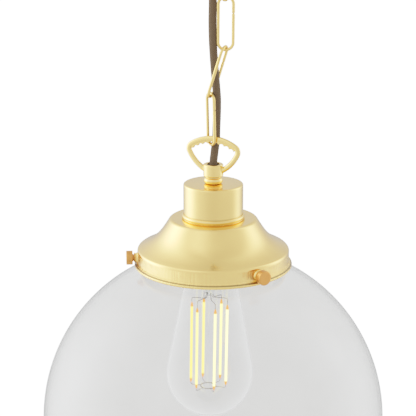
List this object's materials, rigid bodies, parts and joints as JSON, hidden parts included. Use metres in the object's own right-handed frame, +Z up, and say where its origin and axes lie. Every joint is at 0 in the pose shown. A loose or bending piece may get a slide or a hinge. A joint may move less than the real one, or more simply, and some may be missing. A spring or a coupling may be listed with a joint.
{
  "type": "chain-hung pendant lamp",
  "caption": "Clear glass globe pendant lamp with a brass gallery, thumb screws, a filament bulb, a brass link chain, a fabric cable and a ceiling rose.",
  "frame": {"origin": "centre of the bracket's two screw slots, in the plane of the ceiling", "axes": "+Z up, out of the ceiling face; -Y towards the viewer; +X to the viewer's right"},
  "size_m": [0.25, 0.25, 0.536],
  "materials": {
    "brass": "satin",
    "bronze": "satin",
    "chain_brass": "satin",
    "zinc_steel": "satin",
    "phenolic": "satin",
    "porcelain": "matt",
    "cable_fabric": "woven",
    "core_brown": "satin",
    "core_blue": "satin",
    "core_green": "satin",
    "clear_glass": "polished",
    "cap_metal": "satin",
    "sleeve": "satin",
    "lead_wire": "satin",
    "filament": "satin"
  },
  "bodies": {
    "ceiling": {"ceiling_bracket": "zinc_steel", "bracket_nuts": "zinc_steel", "rose_nipple": "zinc_steel", "rose_cover": "brass", "upper_collar": "brass", "upper_loop": "brass", "terminal_block": "porcelain", "terminal_tubes": "brass", "terminal_screws": "zinc_steel", "earth_screw": "brass", "earth_tag": "brass", "rose_live_core": "core_brown", "rose_neutral_core": "core_blue", "rose_earth_core": "core_green", "cable": "cable_fabric"},
    "link_0": {"chain_link_0": "chain_brass"},
    "link_1": {"chain_link_1": "chain_brass"},
    "link_2": {"chain_link_2": "chain_brass"},
    "link_3": {"chain_link_3": "chain_brass"},
    "lamp": {"lower_loop": "brass", "lower_collar": "brass", "holder_cup": "brass", "cup_ring": "brass", "gallery": "brass", "screw_bushes": "brass", "holder_nipple": "zinc_steel", "holder_nuts": "zinc_steel", "holder_body": "phenolic", "holder_insert": "porcelain", "thread_shell": "brass", "centre_contact": "brass", "contact_screws": "brass", "holder_live_core": "core_brown", "holder_neutral_core": "core_blue", "shade_ring": "phenolic", "globe": "clear_glass"},
    "screw_0_sleeve": {"screw_tip_0": "sleeve"},
    "screw_0": {"thumb_screw_0": "bronze"},
    "screw_1_sleeve": {"screw_tip_1": "sleeve"},
    "screw_1": {"thumb_screw_1": "bronze"},
    "screw_2_sleeve": {"screw_tip_2": "sleeve"},
    "screw_2": {"thumb_screw_2": "bronze"},
    "bulb_foot": {"bulb_contact": "zinc_steel", "bulb_insulator": "phenolic"},
    "bulb": {"bulb_cap": "cap_metal", "bulb_glass": "clear_glass", "bulb_stem": "clear_glass", "filament_wires": "lead_wire", "filaments": "filament"}
  },
  "joints": [
    {"name": "chain_0_swing", "type": "hinge", "parent": "ceiling", "child": "link_0", "pos_m": [0, 0, -0.0709], "axis": [0.9659, -0.2588, 0], "range_deg": [-20, 20], "deforming": ["cable"]},
    {"name": "chain_1_swing", "type": "hinge", "parent": "link_0", "child": "link_1", "pos_m": [0.0086, 0.0006, -0.1035], "axis": [0.4782, 0.8709, 0.1135], "range_deg": [-20, 20], "deforming": ["cable"]},
    {"name": "chain_2_swing", "type": "hinge", "parent": "link_1", "child": "link_2", "pos_m": [0.0084, 0.0006, -0.1381], "axis": [1, 0, -0.0054], "range_deg": [-25, 25], "deforming": ["cable"]},
    {"name": "chain_3_swing", "type": "hinge", "parent": "link_2", "child": "link_3", "pos_m": [-0.0024, 0.0007, -0.1711], "axis": [0.3452, 0.9328, -0.103], "range_deg": [-14, 20], "deforming": ["cable"]},
    {"name": "lamp_swing", "type": "hinge", "parent": "link_3", "child": "lamp", "pos_m": [0, 0, -0.2011], "axis": [0.9272, -0.3746, 0], "range_deg": [-20, 10], "deforming": ["cable"]},
    {"name": "screw_0_travel", "type": "slide", "parent": "lamp", "child": "screw_0_sleeve", "axis": [0.5736, -0.8192, 0], "range_m": [0, 0.0056]},
    {"name": "screw_0_turn", "type": "hinge", "parent": "screw_0_sleeve", "child": "screw_0", "pos_m": [0, 0, -0.2874], "axis": [0.5736, -0.8192, 0], "range_deg": [0, 2881]},
    {"name": "screw_1_travel", "type": "slide", "parent": "lamp", "child": "screw_1_sleeve", "axis": [0.4226, 0.9063, 0], "range_m": [0, 0.0056]},
    {"name": "screw_1_turn", "type": "hinge", "parent": "screw_1_sleeve", "child": "screw_1", "pos_m": [0, 0, -0.2874], "axis": [0.4226, 0.9063, 0], "range_deg": [0, 2881]},
    {"name": "screw_2_travel", "type": "slide", "parent": "lamp", "child": "screw_2_sleeve", "axis": [-0.9962, -0.0872, 0], "range_m": [0, 0.0056]},
    {"name": "screw_2_turn", "type": "hinge", "parent": "screw_2_sleeve", "child": "screw_2", "pos_m": [0, 0, -0.2874], "axis": [-0.9962, -0.0872, 0], "range_deg": [0, 2881]},
    {"name": "bulb_travel", "type": "slide", "parent": "lamp", "child": "bulb_foot", "axis": [-0.0157, 0, -0.9999], "range_m": [0, 0.0254]},
    {"name": "bulb_turn", "type": "hinge", "parent": "bulb_foot", "child": "bulb", "pos_m": [-0.0008, 0, -0.271], "axis": [-0.0157, 0, -0.9999], "range_deg": [0, 2520]}
  ],
  "couplings": [
    {"joint": "screw_0_turn", "follows": "screw_0_travel", "rad_per_m": 8976},
    {"joint": "screw_1_turn", "follows": "screw_1_travel", "rad_per_m": 8976},
    {"joint": "screw_2_turn", "follows": "screw_2_travel", "rad_per_m": 8976},
    {"joint": "bulb_turn", "follows": "bulb_travel", "rad_per_m": 1730.9}
  ]
}
